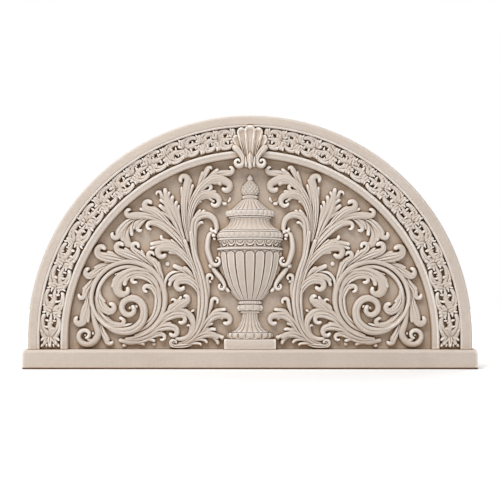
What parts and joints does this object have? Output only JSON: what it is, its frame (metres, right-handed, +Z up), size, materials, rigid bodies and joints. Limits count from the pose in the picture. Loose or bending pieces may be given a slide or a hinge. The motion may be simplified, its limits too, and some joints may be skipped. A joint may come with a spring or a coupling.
{
  "type": "tympanum panel",
  "caption": "Semicircular carved stone tympanum with a moulded arch, leaf band, shell keystone, urn and acanthus scrolls in relief, standing on a straight sill course.",
  "frame": {"origin": "centre of the sill course's underside, on its bed", "axes": "+X to the right along the sill, +Y from the carved front to the flat back, +Z up"},
  "size_m": [1.82, 0.13, 1.0163],
  "materials": {
    "carved_stone": "fine matt cast stone, pale warm beige with darker recesses",
    "sill_stone": "fine matt cast stone, rubbed smooth"
  },
  "bodies": {
    "root": {"carved_tympanum_panel": "carved_stone", "sill_course": "sill_stone"}
  },
  "joints": []
}
